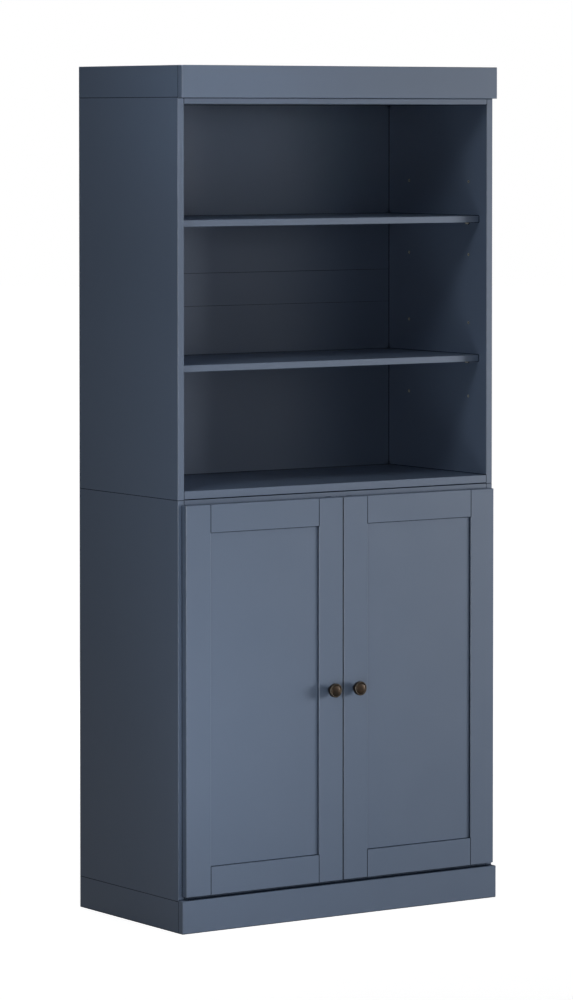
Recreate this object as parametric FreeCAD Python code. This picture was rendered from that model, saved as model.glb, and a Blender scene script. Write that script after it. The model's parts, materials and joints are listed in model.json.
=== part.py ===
"""Tall bookcase: an open shelf module on a two-door cabinet, between a plinth and a cornice.

Frame: millimetres, +Z up, the front looks along -Y and +X is to the right as one faces it.
The origin is on the floor, at the centre of the plinth's footprint.
Right-hand pieces are built first and mirrored in X for the left hand.
"""
import FreeCAD, Part
import math
import os

Vector = FreeCAD.Vector

# ---------------------------------------------------------------- driving dimensions
# Overall
width = 900.0
depth = 450.0                   # plinth and cornice, from front face to back edge
height = 2000.0

# Plinth and cornice
frame_height = 74.0             # side boards of the plinth and of the cornice
plinth_lap = 2.5                # the plinth's front board stands higher than its sides
cornice_lap = 1.0               # the cornice's front board hangs lower than its sides
trim_thickness = 18.0
trim_gap = 0.5                  # between a front board and the module that it laps over
brace_thickness = 18.0
corner_block = 32.0
corner_block_height = 50.0
cornice_panel_thickness = 16.0

# Module boards
side_thickness = 17.0
upper_floor_thickness = 18.5
upper_floor_lift = 2.0          # shadow gap between the two modules
upper_top_thickness = 15.0
lower_board_thickness = 17.0    # top and floor of the cabinet
shelf_thickness = 15.5

# Housed joints between a module's sides and its top and floor
tongue_length = 6.0
tongue_thickness = 7.0
tongue_stop = 12.0              # the tongue stops short of the front edge
joint_clearance = 0.15

# Back: two thin panels on a rebated rail at mid height
back_thickness = 6.0
back_recess = 22.0              # from the panels' rear face to the rear edge of the sides
back_groove_depth = 6.0
back_edge_gap = 0.5             # room for a panel to move at the bottom of its groove
rail_face = 80.0
rail_lip = 8.0                  # the rail reaches this far behind each panel
rail_thickness = 16.0

# Shelves: two loose ones on pins, and one that is housed in the cabinet's sides
shelf_setback = 30.5            # behind the front edge of the sides
shelf_end_gap = 0.5
shelf_back_gap = 1.0
upper_shelf_low_base = 1293.0
upper_shelf_high_base = 1628.0
low_spare_rows = (94.0, -83.5)  # spare pin holes, measured from the row in use
high_spare_rows = (100.0, -76.5)
pin_radius = 2.5
pin_clearance = 0.05
pin_hole_depth = 10.0
pin_insertion = 9.0
pin_projection = 8.0
front_pin_setback = 73.5        # behind the front edge of the sides
rear_pin_setback = 318.0

# Flat plates that tie the two modules together behind the back
link_width = 40.0
link_thickness = 2.0
link_end_gap = 1.0              # from the plate's ends to the boards' far faces
link_inset = 90.0               # from the sides' inner faces to the plate's middle

# Doors: five-piece frames with a recessed panel
door_thickness = 18.0
door_gap = 2.0                  # between a closed door and the cabinet's front edges
door_side_reveal = 9.5
door_top_reveal = 11.0
door_foot_reveal = 8.5          # above the plinth's front board
meeting_gap = 3.0
stile_width = 68.0
rail_height = 65.0
panel_recess = 4.5
panel_thickness = 6.0
panel_groove_depth = 9.0
panel_edge_gap = 1.0
groove_clearance = 0.1

# Edges: a broad bevel on free arrises and a fine one that makes a V at each joint
arris = 1.2
joint_bevel = 0.8

# Knob on the middle of each meeting stile
knob_radius = 16.5
knob_projection = 23.0
knob_rim = 7.0                  # thickness of the cylindrical head
knob_boss = 1.5
knob_boss_radius = 12.5
knob_neck_radius = 7.0
knob_bore_depth = 11.0
screw_radius = 2.0
screw_clearance = 0.05
screw_head_radius = 4.0
screw_head_height = 2.2
screw_hole_radius = 2.3
screw_tip_gap = 1.0             # from the screw's tip to the bottom of the knob's bore

# Concealed hinges: a cup in the door, a pin, and a gooseneck arm on a plate
cup_radius = 17.5
cup_depth = 12.5
cup_wall = 1.0
cup_edge_distance = 2.5         # wood between the cup and the door's edge
cup_clearance = 0.1
cup_flange = 0.8
cup_wing_reach = 29.0           # above and below the cup's centre
cup_wing_width = 15.0
hinge_end_distance = 100.0      # hinge centre to the door's end
pivot_from_edge = 7.0           # joint axis, inward from the door's hinge edge
pivot_from_back = 9.0           # joint axis, forward from the door's back face
hinge_pin_radius = 1.2
hinge_pin_clearance = 0.05
eye_radius = 2.3
arm_thickness = 2.4
arm_half_height = 5.5
arm_reach = 14.2                # pivot to the outer face of the arm's neck
channel_half_height = 8.0
channel_wall = 1.3
channel_start = 14.0            # behind the door's back face
channel_end = 60.0
plate_thickness = 1.8
plate_block_inset = 4.0         # the plate's block stops short of the channel's ends
plate_wing_reach = 25.0         # above and below the hinge's centre
plate_wing_width = 11.0
plate_setback = 37.0            # screw line behind the cabinet's front edge
seat_gap = 0.3                  # between the arm's channel and the plate

# Felt pads behind the doors' meeting corners
felt_width = 14.0
felt_height = 5.0
felt_thickness = 1.7
felt_from_centre = 30.0

# ---------------------------------------------------------------- derived places
def around(middle, half):
    """The (low, high) pair at equal distance each side of a middle."""
    return (middle - half, middle + half)


side_x = width / 2
inner_x = side_x - side_thickness
front_y = -depth / 2
back_y = depth / 2
trim_back_y = front_y + trim_thickness
carcass_y = trim_back_y + trim_gap
back_front_y = back_y - back_recess - back_thickness
back_rear_y = back_y - back_recess

plinth_top_z = frame_height + plinth_lap
lower_z = frame_height
upper_z = height / 2
cornice_z = height - frame_height
lower_inner = (lower_z + lower_board_thickness, upper_z - lower_board_thickness)
upper_inner = (upper_z + upper_floor_lift + upper_floor_thickness, cornice_z - upper_top_thickness)

door_back_y = carcass_y - door_gap
door_front_y = door_back_y - door_thickness
door_x = (meeting_gap / 2, side_x - door_side_reveal)
door_z = (plinth_top_z + door_foot_reveal, upper_z - door_top_reveal)
panel_y = (door_front_y + panel_recess, door_front_y + panel_recess + panel_thickness)
knob_x = door_x[0] + stile_width / 2
knob_z = sum(door_z) / 2

pivot_x = door_x[1] - pivot_from_edge
pivot_y = door_back_y - pivot_from_back
cup_x = door_x[1] - cup_edge_distance - cup_radius
hinge_levels = (door_z[0] + hinge_end_distance, door_z[1] - hinge_end_distance)

pin_columns = (carcass_y + front_pin_setback, carcass_y + rear_pin_setback)
shelf_front_y = carcass_y + shelf_setback
lower_shelf_z = around(sum(lower_inner) / 2, shelf_thickness / 2)

pieces = {}


# ---------------------------------------------------------------- helpers
def block(x, y, z):
    """A rectangular solid between three (low, high) pairs."""
    return Part.makeBox(x[1] - x[0], y[1] - y[0], z[1] - z[0], Vector(x[0], y[0], z[0]))


def rod(radius, start, end):
    """A cylinder between two points."""
    axis = Vector(*end) - Vector(*start)
    return Part.makeCylinder(radius, axis.Length, Vector(*start), axis)


def bevelled(solid, size, x=(), y=(), z=()):
    """The solid with a bevel on each edge that lies in one of the named planes."""
    def lies_in_plane(edge):
        box = edge.BoundBox
        spans = (((box.XMin, box.XMax), x), ((box.YMin, box.YMax), y), ((box.ZMin, box.ZMax), z))
        return any(abs(low - value) < 1e-4 and abs(high - value) < 1e-4
                   for (low, high), values in spans for value in values)
    return solid.makeChamfer(size, [edge for edge in solid.Edges if lies_in_plane(edge)])


def mirrored(solid):
    """The left-hand copy of a right-hand solid."""
    return solid.mirror(Vector(0, 0, 0), Vector(1, 0, 0))


def keep(node, *solids):
    """Register one node, made of one solid or of a group of separate solids."""
    pieces[node] = solids[0] if len(solids) == 1 else Part.makeCompound(list(solids))


def keep_pair(right_node, left_node, *solids):
    """Register a right-hand node and its mirror image."""
    keep(right_node, *solids)
    keep(left_node, *[mirrored(solid) for solid in solids])


# ---------------------------------------------------------------- plinth and cornice
def trim_board(z):
    """A front board as wide as the whole piece, bevelled round its face and its ends."""
    board = block((-side_x, side_x), (front_y, trim_back_y), z)
    return bevelled(board, arris, x=(-side_x, side_x), y=(front_y,))


def trim_side(z):
    """The right side board, which butts against the back of the front board."""
    board = block((inner_x, side_x), (trim_back_y, back_y), z)
    return bevelled(board, joint_bevel, x=(side_x,))


def corner_blocks(y, z):
    """Four square glue blocks in the corners between two (front, rear) planes."""
    columns = ((y[0], y[0] + corner_block), (y[1] - corner_block, y[1]))
    right = [block((inner_x - corner_block, inner_x), column, z) for column in columns]
    return right + [mirrored(solid) for solid in right]


def build_plinth():
    z = (0, frame_height)
    rail_y = (back_y - brace_thickness, back_y)
    keep("plinth_front", trim_board((0, plinth_top_z)))
    keep_pair("plinth_side_right", "plinth_side_left", trim_side(z))
    keep("plinth_back_rail", block((-inner_x, inner_x), rail_y, z))
    keep("plinth_centre_brace", block(around(0, brace_thickness / 2), (trim_back_y, rail_y[0]), z))
    block_z = (frame_height - corner_block_height, frame_height)
    keep("plinth_corner_blocks", *corner_blocks((trim_back_y, rail_y[0]), block_z))


def build_cornice():
    rail_y = (back_y - brace_thickness, back_y)
    panel_z = height - cornice_panel_thickness
    keep("cornice_front", trim_board((cornice_z - cornice_lap, height)))
    keep_pair("cornice_side_right", "cornice_side_left", trim_side((cornice_z, height)))
    keep("cornice_back_rail", block((-inner_x, inner_x), rail_y, (cornice_z, panel_z)))
    top = block((-inner_x, inner_x), (trim_back_y, back_y), (panel_z, height))
    keep("cornice_top_panel", bevelled(top, joint_bevel, z=(height,)))
    block_z = (cornice_z, cornice_z + corner_block_height)
    keep("cornice_corner_blocks", *corner_blocks((trim_back_y, rail_y[0]), block_z))


# ---------------------------------------------------------------- module boards
def tongue_z(board_z):
    """The (low, high) levels of the tongue on a horizontal board's ends."""
    return around(sum(board_z) / 2, tongue_thickness / 2)


def housing(board_z, y):
    """The cut for one board's tongue, from its front edge's stop to its rear edge."""
    low, high = tongue_z(board_z)
    return block((inner_x, inner_x + tongue_length + joint_clearance),
                 (y[0] + tongue_stop - joint_clearance, y[1]),
                 (low - joint_clearance, high + joint_clearance))


def side_board(z, housings, pin_rows):
    """The right side of a module: housings, back groove and blind pin holes."""
    board = block((inner_x, side_x), (carcass_y, back_y), z)
    board = bevelled(board, joint_bevel, x=(side_x,), y=(carcass_y,))
    back_groove = block((inner_x, inner_x + back_groove_depth),
                        (back_front_y - joint_clearance, back_rear_y + joint_clearance), z)
    cuts = [back_groove] + housings
    for y in pin_columns:
        for row in pin_rows:
            cuts.append(rod(pin_radius + pin_clearance, (inner_x, y, row),
                            (inner_x + pin_hole_depth, y, row)))
    return board.cut(cuts)


def tongued_board(y, z):
    """A horizontal board between the sides, with a stopped tongue at each end."""
    core = bevelled(block((-inner_x, inner_x), y, z), joint_bevel, y=(y[0],))
    tongue_x = inner_x + tongue_length
    tongue = block((-tongue_x, tongue_x), (y[0] + tongue_stop, y[1]), tongue_z(z))
    return core.fuse(tongue).removeSplitter()


def level_board(z, groove_z, rear_y):
    """A top or floor board, grooved from end to end for the back."""
    tongue_x = inner_x + tongue_length
    groove_y = (back_front_y - joint_clearance, back_rear_y + joint_clearance)
    return tongued_board((carcass_y, rear_y), z).cut(block((-tongue_x, tongue_x), groove_y, groove_z))


def back_panel(z):
    """A thin panel whose ends stand in the grooves of the sides."""
    reach = inner_x + back_groove_depth - back_edge_gap
    return block((-reach, reach), (back_front_y, back_rear_y), z)


def back_rail(z):
    """The rail between the two panels: flush in front, with a lip behind each panel."""
    reach = inner_x + back_groove_depth - back_edge_gap
    face = block((-reach, reach), (back_front_y, back_rear_y), z)
    face = bevelled(face, joint_bevel, y=(back_front_y,))
    rear = block((-inner_x, inner_x), (back_rear_y, back_front_y + rail_thickness),
                 (z[0] - rail_lip, z[1] + rail_lip))
    return face.fuse(rear)


def build_back(module, inner):
    """Both panels and the rail of one module, between its floor and its top."""
    rail_z = around(sum(inner) / 2, rail_face / 2)
    room = back_groove_depth - back_edge_gap
    keep(module + "_back_rail", back_rail(rail_z))
    keep(module + "_back_panel_low", back_panel((inner[0] - room, rail_z[0] - joint_clearance)))
    keep(module + "_back_panel_high", back_panel((rail_z[1] + joint_clearance, inner[1] + room)))


def loose_shelf(base):
    """A loose shelf, bevelled round its front edge."""
    x = inner_x - shelf_end_gap
    y = (shelf_front_y, back_front_y - shelf_back_gap)
    board = block((-x, x), y, (base, base + shelf_thickness))
    return bevelled(board, joint_bevel, y=(shelf_front_y,))


def shelf_pins(bases):
    """Plain round pins, four under each shelf."""
    pins = []
    for base in bases:
        for y in pin_columns:
            z = base - pin_radius
            pins.append(rod(pin_radius, (inner_x - pin_projection, y, z),
                            (inner_x + pin_insertion, y, z)))
    return pins + [mirrored(pin) for pin in pins]


def link_plate():
    """The right flat plate across the joint, let into the rear edges of two boards."""
    z = (lower_inner[1] + link_end_gap, upper_inner[0] - link_end_gap)
    return block(around(inner_x - link_inset, link_width / 2), (back_y - link_thickness, back_y), z)


def felt_pads():
    """The right pads on the cabinet's floor and top, where the door's ends land."""
    levels = (sum((door_z[0], lower_inner[0])) / 2, sum((lower_inner[1], door_z[1])) / 2)
    return [block(around(felt_from_centre, felt_width / 2), (carcass_y - felt_thickness, carcass_y),
                  around(z, felt_height / 2)) for z in levels]


def build_module(module, z, boards, housings, pin_rows):
    """The sides, floor, top and back of one open module."""
    inner = (boards[0][1], boards[1][0])
    housings = [housing(board, (carcass_y, back_y)) for board in boards] + housings
    keep_pair(module + "_side_right", module + "_side_left", side_board(z, housings, pin_rows))
    floor_groove = (inner[0] - back_groove_depth, inner[0])
    top_groove = (inner[1], inner[1] + back_groove_depth)
    linked_y = back_y - link_thickness
    floor_y, top_y = (linked_y, back_y) if module == "upper" else (back_y, linked_y)
    keep(module + "_floor_panel", level_board(boards[0], floor_groove, floor_y))
    keep(module + "_top_panel", level_board(boards[1], top_groove, top_y))
    build_back(module, inner)


def build_cabinet():
    """The lower module, whose one shelf is housed in its sides and meets the back rail."""
    shelf_y = (shelf_front_y, back_front_y)
    build_module("lower", (lower_z, upper_z), ((lower_z, lower_inner[0]), (lower_inner[1], upper_z)),
                 [housing(lower_shelf_z, shelf_y)], ())
    keep("lower_shelf", tongued_board(shelf_y, lower_shelf_z))
    keep("door_felt_pads", *felt_pads(), *[mirrored(pad) for pad in felt_pads()])


def build_bookcase():
    """The upper module with its two loose shelves, their pins and the spare pin holes."""
    shelves = (("upper_shelf_low", upper_shelf_low_base, low_spare_rows),
               ("upper_shelf_high", upper_shelf_high_base, high_spare_rows))
    pin_rows = [base - pin_radius + step for _, base, spares in shelves for step in (0,) + spares]
    boards = ((upper_z + upper_floor_lift, upper_inner[0]), (upper_inner[1], cornice_z))
    build_module("upper", (upper_z, cornice_z), boards, [], pin_rows)
    for node, base, _ in shelves:
        keep(node, loose_shelf(base))
    keep("upper_shelf_pins", *shelf_pins([base for _, base, _ in shelves]))
    keep("module_link_plates", link_plate(), mirrored(link_plate()))


# ---------------------------------------------------------------- doors
def door_stile(x, inner_edge, into):
    """A full-height stile whose groove takes the panel and the rails' tenons."""
    board = block(x, (door_front_y, door_back_y), door_z)
    board = bevelled(board, arris, x=x, y=(door_front_y,))
    groove_x = sorted((inner_edge, inner_edge + into * panel_groove_depth))
    groove_y = (panel_y[0] - groove_clearance, panel_y[1] + groove_clearance)
    return board.cut(block(groove_x, groove_y, door_z))


def door_rail(z, inner_edge, into):
    """A rail between the stiles, with a stub tenon at each end and a panel groove."""
    x = (door_x[0] + stile_width, door_x[1] - stile_width)
    core = block(x, (door_front_y, door_back_y), z)
    core = bevelled(core, joint_bevel, y=(door_front_y,))
    tenon_length = panel_groove_depth - groove_clearance
    tenon = block((x[0] - tenon_length, x[1] + tenon_length), panel_y, z)
    groove_z = sorted((inner_edge, inner_edge + into * panel_groove_depth))
    groove_y = (panel_y[0] - groove_clearance, panel_y[1] + groove_clearance)
    groove = block((x[0] - tenon_length, x[1] + tenon_length), groove_y, groove_z)
    return core.fuse(tenon).removeSplitter().cut(groove)


def door_panel():
    """The flat panel that floats in the frame's grooves."""
    reach = panel_groove_depth - panel_edge_gap
    x = (door_x[0] + stile_width - reach, door_x[1] - stile_width + reach)
    z = (door_z[0] + rail_height - reach, door_z[1] - rail_height + reach)
    return block(x, panel_y, z)


def knob():
    """A turned knob: neck, cylindrical head and a raised middle."""
    head = (knob_projection - knob_boss - knob_rim, knob_projection - knob_boss)
    outline = [(0, 0), (knob_neck_radius, 0), (knob_neck_radius, head[0]),
               (knob_radius, head[0]), (knob_radius, head[1]), (knob_boss_radius, head[1]),
               (knob_boss_radius, knob_projection), (0, knob_projection)]
    points = [Vector(knob_x + radius, door_front_y - rise, knob_z) for radius, rise in outline]
    face = Part.Face(Part.makePolygon(points + points[:1]))
    turned = face.revolve(Vector(knob_x, 0, knob_z), Vector(0, 1, 0), 360)
    return turned.cut(rod(screw_radius + screw_clearance, (knob_x, door_front_y, knob_z),
                          (knob_x, door_front_y - knob_bore_depth, knob_z)))


def knob_screw():
    """The machine screw that holds the knob from behind the stile."""
    tip = door_front_y - knob_bore_depth + screw_tip_gap
    shank = rod(screw_radius, (knob_x, door_back_y, knob_z), (knob_x, tip, knob_z))
    head = rod(screw_head_radius, (knob_x, door_back_y, knob_z),
               (knob_x, door_back_y + screw_head_height, knob_z))
    return shank.fuse(head).removeSplitter()


def build_doors():
    outer_x = (door_x[1] - stile_width, door_x[1])
    meeting_x = (door_x[0], door_x[0] + stile_width)
    hinge_stile = door_stile(outer_x, outer_x[0], 1).cut(
        [rod(cup_radius + cup_clearance, (cup_x, door_back_y, z),
             (cup_x, door_back_y - cup_depth - cup_clearance, z)) for z in hinge_levels])
    meeting_stile = door_stile(meeting_x, meeting_x[1], -1).cut(
        rod(screw_hole_radius, (knob_x, door_back_y, knob_z), (knob_x, door_front_y, knob_z)))
    top_z = (door_z[1] - rail_height, door_z[1])
    bottom_z = (door_z[0], door_z[0] + rail_height)
    for node, solid in (("hinge_stile", hinge_stile), ("meeting_stile", meeting_stile),
                        ("top_rail", door_rail(top_z, top_z[0], 1)),
                        ("bottom_rail", door_rail(bottom_z, bottom_z[1], -1)),
                        ("panel", door_panel()), ("knob", knob()), ("knob_screw", knob_screw())):
        keep_pair("right_door_" + node, "left_door_" + node, solid)


# ---------------------------------------------------------------- concealed hinges
def hinge_cup(z):
    """A drawn cup, sunk in the stile, with a wing above and below its mouth."""
    rim_y = door_back_y + cup_flange
    floor_y = door_back_y - cup_depth
    cup = rod(cup_radius, (cup_x, floor_y, z), (cup_x, rim_y, z))
    wing = block(around(cup_x, cup_wing_width / 2), (door_back_y, rim_y), around(z, cup_wing_reach))
    hollow = rod(cup_radius - cup_wall, (cup_x, floor_y + cup_wall, z), (cup_x, rim_y, z))
    return cup.fuse(wing).removeSplitter().cut(hollow)


def hinge_pin(z):
    """The pin on the joint's axis, as long as the round cup lets it be at its place."""
    offset = pivot_x + hinge_pin_radius - cup_x
    half = math.sqrt((cup_radius - cup_wall) ** 2 - offset ** 2) - hinge_pin_clearance
    return rod(hinge_pin_radius, (pivot_x, pivot_y, z - half), (pivot_x, pivot_y, z + half))


def hinge_arm(z):
    """The gooseneck: an eye on the pin, a bent neck and a channel over the plate."""
    neck_x = (pivot_x - arm_reach, pivot_x - arm_reach + arm_thickness)
    tall = around(z, arm_half_height)
    channel_y = (door_back_y + channel_start, door_back_y + channel_end)
    eye = rod(eye_radius, (pivot_x, pivot_y, tall[0]), (pivot_x, pivot_y, tall[1]))
    reach = block((neck_x[0], pivot_x), around(pivot_y, arm_thickness / 2), tall)
    neck = block(neck_x, (pivot_y, channel_y[1]), tall)
    skirt_x = inner_x - plate_thickness - seat_gap
    channel = block((neck_x[0], skirt_x), channel_y, around(z, channel_half_height))
    inside = block((neck_x[1], skirt_x), channel_y, around(z, channel_half_height - channel_wall))
    bore = rod(hinge_pin_radius + hinge_pin_clearance, (pivot_x, pivot_y, tall[0]),
               (pivot_x, pivot_y, tall[1]))
    return eye.fuse([reach, neck, channel.cut(inside)]).removeSplitter().cut(bore)


def hinge_plate(z):
    """The mounting plate on the cabinet's side, with a block that the arm seats on."""
    y = (door_back_y + channel_start + plate_block_inset, door_back_y + channel_end - plate_block_inset)
    line_y = carcass_y + plate_setback
    base = block((inner_x - plate_thickness, inner_x), y, around(z, channel_half_height))
    wings = block((inner_x - plate_thickness, inner_x), around(line_y, plate_wing_width / 2),
                  around(z, plate_wing_reach))
    top_x = pivot_x - arm_reach + arm_thickness + seat_gap
    half = channel_half_height - channel_wall - seat_gap
    riser = block((top_x, inner_x), y, around(z, half))
    return base.fuse([wings, riser]).removeSplitter()


def build_hinges():
    for part, make in (("cups", hinge_cup), ("pins", hinge_pin),
                       ("arms", hinge_arm), ("plates", hinge_plate)):
        keep_pair("right_hinge_" + part, "left_hinge_" + part, *[make(z) for z in hinge_levels])


# ---------------------------------------------------------------- build and write
build_plinth()
build_cabinet()
build_bookcase()
build_cornice()
build_doors()
build_hinges()

os.makedirs("parts", exist_ok=True)
for node, shape in pieces.items():
    shape.exportStep("parts/" + node + ".step")
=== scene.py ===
"""Finishes, small hardware and studio for a tall bookcase with cabinet doors.

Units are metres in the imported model's frame: +Z up, the doors look along -Y, +X is to the right as
one faces them, and the origin is on the floor at the centre of the plinth.
"""
import json
import logging
import math
from dataclasses import dataclass, field
from enum import Enum
from typing import Any, Iterable, Sequence

import bmesh
import bpy
from mathutils import Matrix, Vector


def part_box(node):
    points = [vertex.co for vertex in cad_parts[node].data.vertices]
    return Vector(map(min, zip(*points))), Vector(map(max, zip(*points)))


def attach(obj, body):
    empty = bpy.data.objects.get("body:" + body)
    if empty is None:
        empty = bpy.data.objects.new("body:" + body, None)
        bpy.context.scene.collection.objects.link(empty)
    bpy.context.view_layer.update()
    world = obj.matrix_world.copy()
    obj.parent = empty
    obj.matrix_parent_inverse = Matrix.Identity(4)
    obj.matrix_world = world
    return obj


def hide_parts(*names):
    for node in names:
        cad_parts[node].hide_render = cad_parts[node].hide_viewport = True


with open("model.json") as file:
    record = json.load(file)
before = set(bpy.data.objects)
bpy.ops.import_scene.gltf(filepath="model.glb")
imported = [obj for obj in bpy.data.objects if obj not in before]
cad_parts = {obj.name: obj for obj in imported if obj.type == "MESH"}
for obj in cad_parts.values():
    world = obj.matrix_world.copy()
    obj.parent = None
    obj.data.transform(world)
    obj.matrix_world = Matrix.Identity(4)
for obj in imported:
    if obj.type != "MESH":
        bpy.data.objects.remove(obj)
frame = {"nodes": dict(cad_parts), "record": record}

MM = 0.001
ON_AXIS = 1e-9  # a turned outline's point that lies no further out than this is one vertex
log = logging.getLogger("bookcase")

Colour = tuple[float, float, float]
Place = tuple[float, float, float]
Range = tuple[float, float]


class Slot(Enum):
    """The record's material slots."""

    PAINT = "blue_paint"
    BARE_WOOD = "bare_wood"
    BRONZE = "aged_bronze"
    PIN = "brass_pin"
    ZINC = "zinc_steel"
    FELT = "grey_felt"


class Grain(Enum):
    """The direction that a board's grain runs in."""

    ALONG_X = 0
    ALONG_Y = 1
    ALONG_Z = 2


class Body(Enum):
    """The bodies that pieces ride on."""

    CARCASS = "carcass"
    LEFT_DOOR = "left_door"
    RIGHT_DOOR = "right_door"


class Side(Enum):
    """The two hands of the piece, with the sign of X on each."""

    LEFT = -1
    RIGHT = 1

    @property
    def word(self) -> str:
        """The hand as a word for names."""
        return self.name.lower()

    @property
    def door(self) -> Body:
        """The door's body on this hand."""
        return Body.LEFT_DOOR if self is Side.LEFT else Body.RIGHT_DOOR


# ---------------------------------------------------------------- shader graphs
class Graph:
    """Short calls for building a node tree."""

    def __init__(self, tree: bpy.types.NodeTree) -> None:
        """Work on one tree.

        Args:
            tree: the tree of a material, a world or a node group.
        """
        self.tree = tree

    def add(self, kind: str, inputs: dict[Any, Any] | None = None, **settings: Any) -> bpy.types.Node:
        """Add a node.

        Args:
            kind: the node's type name.
            inputs: values or source sockets by input name or number.
            settings: properties of the node.

        Returns:
            The new node.
        """
        node = self.tree.nodes.new(kind)
        for key, value in settings.items():
            setattr(node, key, value)
        for name, value in (inputs or {}).items():
            self.feed(node.inputs[name], value)
        return node

    def feed(self, socket: bpy.types.NodeSocket, value: Any) -> None:
        """Link a source socket to an input, or set the input's own value."""
        if isinstance(value, bpy.types.NodeSocket):
            self.tree.links.new(value, socket)
        else:
            socket.default_value = value

    def math(self, operation: str, a: Any, b: Any = 0.0) -> bpy.types.NodeSocket:
        """Return the result of one arithmetic step on two values or sockets."""
        return self.add("ShaderNodeMath", {0: a, 1: b}, operation=operation).outputs[0]

    def ramp(self, value: Any, low: float, high: float, start: float = 0.0,
             end: float = 1.0) -> bpy.types.NodeSocket:
        """Ease a value from one range into another.

        Args:
            value: the source.
            low: the source value that gives start.
            high: the source value that gives end.
            start: the result at low.
            end: the result at high.

        Returns:
            The eased value's socket.
        """
        spans = {"Value": value, "From Min": low, "From Max": high, "To Min": start, "To Max": end}
        return self.add("ShaderNodeMapRange", spans, interpolation_type="SMOOTHSTEP").outputs[0]

    def blend(self, share: Any, first: Any, second: Any) -> bpy.types.NodeSocket:
        """Return the mix of two colours by a share from 0 to 1."""
        node = self.add("ShaderNodeMix", data_type="RGBA")
        for number, value in ((0, share), (6, first), (7, second)):
            self.feed(node.inputs[number], opaque(value))
        return node.outputs[2]

    def mix(self, share: Any, first: Any, second: Any) -> bpy.types.NodeSocket:
        """Return the mix of two values by a share from 0 to 1."""
        values = {0: share, 2: first, 3: second}
        return self.add("ShaderNodeMix", values, data_type="FLOAT").outputs[0]

    def noise(self, place: Any, size: Any, detail: float = 2.0,
              roughness: float = 0.5) -> bpy.types.NodeSocket:
        """Return a noise value, from 0 to 1.

        Args:
            place: the point to read the noise at.
            size: about how large the features are in metres, as a number or a socket.
            detail: how many finer layers are added.
            roughness: how strong each finer layer is.

        Returns:
            The value's socket.
        """
        is_socket = isinstance(size, bpy.types.NodeSocket)
        scale = self.math("DIVIDE", 1.0, size) if is_socket else 1.0 / size
        inputs = {"Vector": place, "Scale": scale, "Detail": detail, "Roughness": roughness}
        return self.add("ShaderNodeTexNoise", inputs, noise_dimensions="3D").outputs[0]

    def place(self) -> bpy.types.NodeSocket:
        """Return the surface point in the piece's own frame, in metres."""
        return self.add("ShaderNodeTexCoord").outputs["Object"]

    def use(self, group: bpy.types.NodeTree, **inputs: Any) -> bpy.types.Node:
        """Place a node group, with inputs named as its sockets in lower case."""
        node = self.add("ShaderNodeGroup", node_tree=group)
        for socket in node.inputs:
            key = socket.name.lower().replace(" ", "_")
            if key in inputs:
                self.feed(socket, inputs[key])
        return node


def opaque(value: Any) -> Any:
    """Give a plain colour its alpha, and pass a socket or a number on."""
    return (*value, 1.0) if isinstance(value, tuple) and len(value) == 3 else value


def new_group(name: str, inputs: dict[str, float | None],
              outputs: Sequence[str]) -> tuple[Graph, Any, Any]:
    """Start a shader node group.

    Args:
        name: the group's name.
        inputs: default values by socket name; None makes a vector socket.
        outputs: names of the value outputs.

    Returns:
        The graph, the group's input node and its output node.
    """
    tree = bpy.data.node_groups.new(name, "ShaderNodeTree")
    for title, default in inputs.items():
        kind = "NodeSocketVector" if default is None else "NodeSocketFloat"
        socket = tree.interface.new_socket(name=title, in_out="INPUT", socket_type=kind)
        if default is not None:
            socket.default_value = default
    for title in outputs:
        tree.interface.new_socket(name=title, in_out="OUTPUT", socket_type="NodeSocketFloat")
    graph = Graph(tree)
    return graph, graph.add("NodeGroupInput"), graph.add("NodeGroupOutput")


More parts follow.
